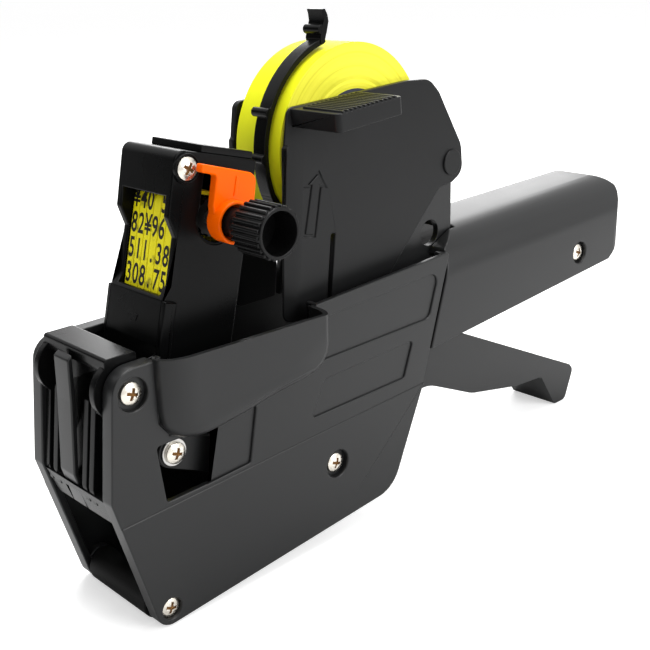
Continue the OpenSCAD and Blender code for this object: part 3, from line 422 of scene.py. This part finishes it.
def metal_look(name, colour, roughness, streak):
    """Plated metal: its colour, and the fine marks of drawing or turning that break its shine."""
    look = bpy.data.materials.new(name)
    look.use_nodes = True
    nodes = look.node_tree.nodes
    links = look.node_tree.links
    shader = nodes["Principled BSDF"]
    shader.inputs["Metallic"].default_value = 1
    place = nodes.new("ShaderNodeTexCoord")
    marks = nodes.new("ShaderNodeTexNoise")
    marks.inputs["Scale"].default_value = streak
    marks.inputs["Detail"].default_value = 6
    shine = nodes.new("ShaderNodeMapRange")
    shine.inputs["To Min"].default_value = roughness * smoothest_share
    shine.inputs["To Max"].default_value = roughness * roughest_share
    tone = nodes.new("ShaderNodeMix")
    tone.data_type = "RGBA"
    tone.inputs["A"].default_value = (*[c * dullest_share for c in colour], 1)
    tone.inputs["B"].default_value = (*colour, 1)
    bump = nodes.new("ShaderNodeBump")
    bump.inputs["Strength"].default_value = 0.25
    bump.inputs["Distance"].default_value = 0.00004
    links.new(place.outputs["Object"], marks.inputs["Vector"])
    links.new(marks.outputs["Fac"], shine.inputs["Value"])
    links.new(shine.outputs["Result"], shader.inputs["Roughness"])
    links.new(marks.outputs["Fac"], tone.inputs["Factor"])
    links.new(tone.outputs["Result"], shader.inputs["Base Color"])
    links.new(marks.outputs["Fac"], bump.inputs["Height"])
    links.new(bump.outputs["Normal"], shader.inputs["Normal"])
    return look


axle_steel = metal_look("axle_steel", (0.62, 0.61, 0.59), roughness=0.3, streak=900)
dress(axle_steel, "frame_rods", "nose_axle", "front_axle", "main_axle", "return_spring",
      "yoke_pin", "band_guide", "ink_roller_core", "holder_pins", "feed_axle", "bottom_pin",
      "roll_stay_pin", "selector_shaft")
moulded("platen", "platen_plate", axle_steel, rounding=0.0003)


# Screws
# Nickel-plated pan-head screws with a cross recess, painted dark brown at the bottom as painted
# shade.
bright_nickel = metal_look("bright_nickel", (0.86, 0.81, 0.72), roughness=0.24, streak=1400)
# The dark brown finish is painted shade for the bottom of each cross recess.
recess_painted_shade = metal_look("recess_painted_shade", (0.2, 0.1, 0.035), roughness=0.55, streak=1800)
painted_shade_index = 1

# The head's own screw is placed in the lean of the head, from the axis of the selector.
selector_x = 36.4965
selector_z = 118.503
head_lean = math.radians(14)


def head_spot(u, y, v):
    """A place in millimetres from the selector axis, in the print head's own lean."""
    return spot(selector_x + u * math.cos(head_lean) + v * math.sin(head_lean), y,
                selector_z - u * math.sin(head_lean) + v * math.cos(head_lean))


side_screw_axes = [spot(x, 0, z) for x, z in ((-2.9, 77.67), (73.8, 28.2), (3.48, 5.8))]
head_screw_axis = head_spot(-13.9, 0, 13.3)
screw_axes = {"side_screws_near": side_screw_axes, "side_screws_far": side_screw_axes,
              "handle_screws": [spot(214.17, 0, 72.18)],
              "stud_screws": [spot(12.03, 0, 53.19)], "head_screws": [head_screw_axis]}
recess_reach = 0.0021
recess_top = 0.00042
recess_bottom = 0.0016


def by_screw(place, axes):
    """How far off the nearest axis a place is, at which axis and side, and how high up it."""
    off, screw = min((math.hypot(place.x - axis.x, place.z - axis.z), number)
                     for number, axis in enumerate(axes))
    height = place.y - axes[screw].y
    return off, (screw, height > 0), abs(height)


for node, axes in screw_axes.items():
    screws = node_shape(node)
    crowns = {}
    for vert in screws.verts:
        off, screw, height = by_screw(vert.co, axes)
        crowns[screw] = max(crowns.get(screw, 0), height)
    # Faces low in each cross recess get the painted shade finish.
    for face in screws.faces:
        off, screw, height = by_screw(face.calc_center_median(), axes)
        if off < recess_reach and recess_top < crowns[screw] - height < recess_bottom:
            face.material_index = painted_shade_index
    plated = set_down(screws, node + "_plated", bright_nickel, node, rounding=0.00012)
    plated.data.materials.append(recess_painted_shade)
    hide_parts(node)
moulded("stud_bushes", "stud_bushes_turned", axle_steel, rounding=0.0001)


# Squeeze lever
# A moulded channel hinged on the main axle, with a finger hook behind. Two flat arms on it
# carry the print head.
moulded("squeeze_lever", "lever", smooth_black, rounding=0.0003)
for side in ("near", "far"):
    moulded(f"yoke_arm_{side}", f"{side}_yoke_arm", inner_black, rounding=0.0003)


# Nose
# A rubber applicator roller between the plates, with the toothed feed wheel and its pawl
# behind it.
roller_black = moulded_look("roller_black", (0.004, 0.004, 0.004), roughness=0.5, grain=1800,
                            depth=0.4, gloss=0.08)
moulded("applicator_roller", "rubber_roller", roller_black, rounding=0.0006)
moulded("feed_wheel", "toothed_feed_wheel", inner_black, rounding=0.0001)
moulded("feed_pawl", "pawl", inner_black, rounding=0.0002)


# Front cover and bottom cover
# Moulded covers on their own pins. The front one has ribs and a springy finger strip, and
# the bottom one a sliding latch.
gloss_black = moulded_look("gloss_black", (0.003, 0.0031, 0.0032), roughness=0.24, grain=2200,
                           depth=0.12, gloss=0.12)
moulded("front_cover", "hinged_front_cover", gloss_black, rounding=0.0002)
strip_grey = moulded_look("strip_grey", (0.012, 0.0122, 0.0125), roughness=0.3)
moulded("front_tongue", "finger_strip", strip_grey, rounding=0.0005)
moulded("bottom_cover", "hinged_bottom_cover", satin_black, rounding=0.0004)
moulded("bottom_latch", "sliding_latch", inner_black, rounding=0.0002)


# Print head
# A box-like moulded housing that leans back, a plate let in on top, and the printing parts
# inside it.
head_black = moulded_look("head_black", (0.0022, 0.0023, 0.0024), roughness=0.28, grain=2200,
                          depth=0.1, gloss=0.1)
head_along = head_spot(1, 0, 0) - head_spot(0, 0, 0)
head_up = head_spot(0, 0, 1) - head_spot(0, 0, 0)
moulded("head_housing", "head_box", head_black, rounding=0.0005,
        splits=[(head_spot(0.1, 0, 0), head_along), (head_spot(-13.8, 0, 0), head_along),
                (head_spot(0, 0, -25), head_up)])


def turned(middle, profile, steps):
    """A ring about an axis along Y, from a closed profile of radii and widths in millimetres."""
    shape = bmesh.new()
    corners = [shape.verts.new(middle + Vector((r, y, 0)) / 1000) for r, y in profile]
    edges = [shape.edges.new(pair) for pair in zip(corners, corners[1:] + corners[:1])]
    bmesh.ops.spin(shape, geom=corners + edges, cent=middle, axis=(0, 1, 0),
                   angle=math.radians(360), steps=steps, use_merge=True)
    bmesh.ops.remove_doubles(shape, verts=shape.verts, dist=weld_distance)
    bmesh.ops.recalc_face_normals(shape, faces=shape.faces)
    return shape


def drawn_out(outline, along):
    """A solid drawn out of a flat outline on the head, in millimetres in the head's lean."""
    shape = bmesh.new()
    face = shape.faces.new([shape.verts.new(head_spot(*corner)) for corner in outline])
    drawn = bmesh.ops.extrude_face_region(shape, geom=[face])["geom"]
    bmesh.ops.translate(shape, vec=head_spot(*along) - head_spot(0, 0, 0),
                        verts=[part for part in drawn if isinstance(part, bmesh.types.BMVert)])
    bmesh.ops.recalc_face_normals(shape, faces=shape.faces)
    return shape


seat_profile = [(3.75, -14.1), (4.3, -14.1), (4.3, -12.9), (3.75, -12.9)]
set_down(turned(head_screw_axis, seat_profile, steps=48), "head_screw_seat", head_black,
         "head_housing", rounding=0.00015)
chin_outline = [(-16.55, -2.5, -31.0), (-16.55, -0.9, -31.0), (-16.55, -1.7, -33.0)]
set_down(drawn_out(chin_outline, along=(0.45, 0, 0)), "chin_mark", head_black,
         "head_housing")
moulded("head_top_plate", "head_lid", gloss_black, rounding=0.0003)
dress(inner_black, "print_anvil", *[f"selector_wheel_{number}" for number in range(1, 7)])
moulded("ink_arms", "ink_roller_arms", inner_black, rounding=0.0002)
felt_dark = moulded_look("felt_dark", (0.03, 0.024, 0.045), roughness=0.95, grain=5200, depth=1.0,
                         gloss=0.1)
moulded("ink_roller_felt", "felt_sleeve", felt_dark, rounding=0.0004)


# Printing bands
# Six yellow rubber loops side by side, with rows of black figures on them and smears of ink.
# The wheels inside turn them.
band_yellow = moulded_look("band_yellow", (0.88, 0.79, 0.008), roughness=0.5, grain=1500,
                           depth=0.3, gloss=0.2)
band_nodes = band_yellow.node_tree.nodes
band_links = band_yellow.node_tree.links
ink_place = band_nodes.new("ShaderNodeTexCoord")
ink_cloud = band_nodes.new("ShaderNodeTexNoise")
ink_cloud.inputs["Scale"].default_value = 210
ink_cloud.inputs["Detail"].default_value = 6
ink_smears = band_nodes.new("ShaderNodeMapRange")
ink_smears.inputs["From Min"].default_value = 0.56
ink_smears.inputs["From Max"].default_value = 0.72
ink_smears.inputs["To Max"].default_value = 0.75
inked = band_nodes.new("ShaderNodeMix")
inked.data_type = "RGBA"
inked.inputs["B"].default_value = (0.03, 0.025, 0.006, 1)
band_colour = band_nodes["Principled BSDF"].inputs["Base Color"]
band_links.new(band_colour.links[0].from_socket, inked.inputs["A"])
band_links.new(ink_place.outputs["Object"], ink_cloud.inputs["Vector"])
band_links.new(ink_cloud.outputs["Fac"], ink_smears.inputs["Value"])
band_links.new(ink_smears.outputs["Result"], inked.inputs["Factor"])
band_links.new(inked.outputs["Result"], band_colour)
moulded("print_bands", "rubber_bands", band_yellow, rounding=0.00015)

figure_black = moulded_look("figure_black", (0.008, 0.008, 0.008), roughness=0.55, gloss=0.3)
figure_rows = ["\u00a540 51", "82\u00a596", "511.38", "308.75", "622.09", "974.36"]
first_row = 2.2
row_pitch = 7.5
middle_column = 2.5
band_pitch = 3.45
band_front = -13.62
figure_shapes = {}
for figure in "0123456789.\u00a5":
    drawn = bpy.data.curves.new("figure", "FONT")
    drawn.body = figure
    drawn.size = 0.0095
    drawn.offset = 0.00014
    drawn.extrude = 0.00003
    drawn.align_x = "CENTER"
    drawn.align_y = "CENTER"
    holder = bpy.data.objects.new("figure", drawn)
    bpy.context.collection.objects.link(holder)
    bpy.context.view_layer.update()
    figure_shapes[figure] = bpy.data.meshes.new_from_object(
        holder.evaluated_get(bpy.context.evaluated_depsgraph_get()))
    bpy.data.objects.remove(holder)
figure_narrow = Matrix.Diagonal((0.62, 0.9, 1, 1))
figure_upright = Matrix(((0, 0, -1), (-1, 0, 0), (0, 1, 0))).to_4x4()
figure_lean = Matrix.Rotation(head_lean, 4, "Y")
figures = bmesh.new()
for line, text in enumerate(figure_rows):
    for column, figure in enumerate(text):
        if figure == " ":
            continue
        glyph = figure_shapes[figure].copy()
        place = head_spot(band_front, (middle_column - column) * band_pitch,
                          first_row - line * row_pitch)
        glyph.transform(Matrix.Translation(place) @ figure_lean @ figure_upright @ figure_narrow)
        figures.from_mesh(glyph)
        bpy.data.meshes.remove(glyph)
set_down(figures, "band_figures", figure_black, "print_bands")


# Pointer and knob
# An orange moulded pointer rides on the selector shaft. The ribbed knob turns whichever
# band it is pulled out to.
pointer_orange = moulded_look("pointer_orange", (0.95, 0.12, 0.0), roughness=0.28, grain=1600,
                              depth=0.1, gloss=0.1)
moulded("pointer", "orange_pointer", pointer_orange, rounding=0.0005)
rib_outline = [(0, -18.95, 7.3), (1.1, -18.95, 7.8), (1.1, -18.95, 12.8), (0, -18.95, 13.3)]
set_down(drawn_out(rib_outline, along=(0, 0.55, 0)), "pointer_rib", pointer_orange,
         "pointer", rounding=0.0002)
knob_black = moulded_look("knob_black", (0.005, 0.005, 0.0052), roughness=0.26, grain=2400,
                          depth=0.15, gloss=0.15)
moulded("selector_knob", "ribbed_knob", knob_black, rounding=0.00025)


# Roll holder
# Two moulded walls joined by a web, with a ridged thumb tab. It tips back on the ears to
# load a roll.
wall_black = moulded_look("wall_black", (0.007, 0.0072, 0.0075), roughness=0.38, grain=2800,
                          depth=0.18, gloss=0.2)
for side in ("near", "far"):
    moulded(f"holder_wall_{side}", f"{side}_holder_wall", wall_black,
            rounding=0.0004)
moulded("holder_web", "holder_bridge", wall_black, rounding=0.0003)
for side in ("near", "far"):
    moulded(f"roll_hub_{side}", f"{side}_roll_hub", inner_black, rounding=0.0004)
moulded("roll_stay", "roll_strap", gloss_black, rounding=0.0002)


# Label roll
# Labels on a paper carrier, wound on a card core. The windings show as fine rings on the
# ends, with a groove near the core.
roll_middle = spot(95.99, 0, 131.49)
roll_radius = 32.45
core_radius = 18
roll_half = 10.45
rim_bevel = 0.35
rim_shine = 0.15


def wound_look():
    """Bright paper whose winding shows as rings round the core, and a brighter rim."""
    look = bpy.data.materials.new("wound_paper")
    look.use_nodes = True
    nodes = look.node_tree.nodes
    links = look.node_tree.links
    shader = nodes["Principled BSDF"]
    shader.inputs["Specular IOR Level"].default_value = 0.15
    shader.inputs["Roughness"].default_value = 0.55
    place = nodes.new("ShaderNodeTexCoord")
    centred = nodes.new("ShaderNodeMapping")
    centred.inputs["Location"].default_value = (-roll_middle.x, 0, -roll_middle.z)
    flat = nodes.new("ShaderNodeVectorMath")
    flat.operation = "MULTIPLY"
    flat.inputs[1].default_value = (1, 0, 1)
    radius = nodes.new("ShaderNodeVectorMath")
    radius.operation = "LENGTH"
    rings = nodes.new("ShaderNodeTexNoise")
    rings.noise_dimensions = "1D"
    rings.inputs["Scale"].default_value = 900
    rings.inputs["Detail"].default_value = 5
    seams = nodes.new("ShaderNodeMapRange")
    seams.inputs["From Min"].default_value = 0.3
    seams.inputs["From Max"].default_value = 0.48
    cloud = nodes.new("ShaderNodeTexNoise")
    cloud.inputs["Scale"].default_value = 60
    tone = nodes.new("ShaderNodeMix")
    tone.data_type = "RGBA"
    tone.inputs["A"].default_value = (0.86, 0.81, 0.045, 1)
    tone.inputs["B"].default_value = (0.98, 0.94, 0.065, 1)
    rim = nodes.new("ShaderNodeMapRange")
    rim.inputs["From Min"].default_value = (roll_radius - rim_bevel) / 1000
    rim.inputs["From Max"].default_value = (roll_radius - rim_shine) / 1000
    rimmed = nodes.new("ShaderNodeMix")
    rimmed.data_type = "RGBA"
    rimmed.inputs["B"].default_value = (0.9, 0.92, 0.012, 1)
    paper = nodes.new("ShaderNodeMix")
    paper.data_type = "RGBA"
    paper.blend_type = "MULTIPLY"
    paper.inputs["Factor"].default_value = 0.12
    bump = nodes.new("ShaderNodeBump")
    bump.inputs["Strength"].default_value = 0.3
    bump.inputs["Distance"].default_value = 0.0001
    links.new(place.outputs["Object"], centred.inputs["Vector"])
    links.new(centred.outputs["Vector"], flat.inputs[0])
    links.new(flat.outputs["Vector"], radius.inputs[0])
    links.new(radius.outputs["Value"], rings.inputs["W"])
    links.new(rings.outputs["Fac"], seams.inputs["Value"])
    links.new(seams.outputs["Result"], tone.inputs["Factor"])
    links.new(place.outputs["Object"], cloud.inputs["Vector"])
    links.new(radius.outputs["Value"], rim.inputs["Value"])
    links.new(rim.outputs["Result"], rimmed.inputs["Factor"])
    links.new(tone.outputs["Result"], rimmed.inputs["A"])
    links.new(rimmed.outputs["Result"], paper.inputs["A"])
    links.new(cloud.outputs["Color"], paper.inputs["B"])
    links.new(paper.outputs["Result"], shader.inputs["Base Color"])
    links.new(rings.outputs["Fac"], bump.inputs["Height"])
    links.new(bump.outputs["Normal"], shader.inputs["Normal"])
    return look


winding_count = 26
winding_inset = 0.02
winding_unevenness = 0.12
groove_windings = (5, 6)
groove_depth = 0.3
winding = random.Random(7)
half_profile = []
for ring in range(winding_count + 1):
    radius = core_radius + (roll_radius - core_radius) * ring / winding_count
    drop = groove_depth if ring in groove_windings else 0
    uneven = winding_unevenness * winding.random()
    half_profile.append((radius, roll_half - winding_inset - uneven - drop))
half_profile.append((roll_radius, roll_half - rim_bevel))
roll_profile = [(r, -y) for r, y in half_profile] + half_profile[::-1]
label_roll = set_down(turned(roll_middle, roll_profile, steps=128), "wound_label_roll",
                      wound_look(), "label_roll")
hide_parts("label_roll")
core_card = moulded_look("core_card", (0.06, 0.065, 0.085), roughness=0.85, grain=1400, depth=0.6,
                         gloss=0.2)
dress(core_card, "roll_core")
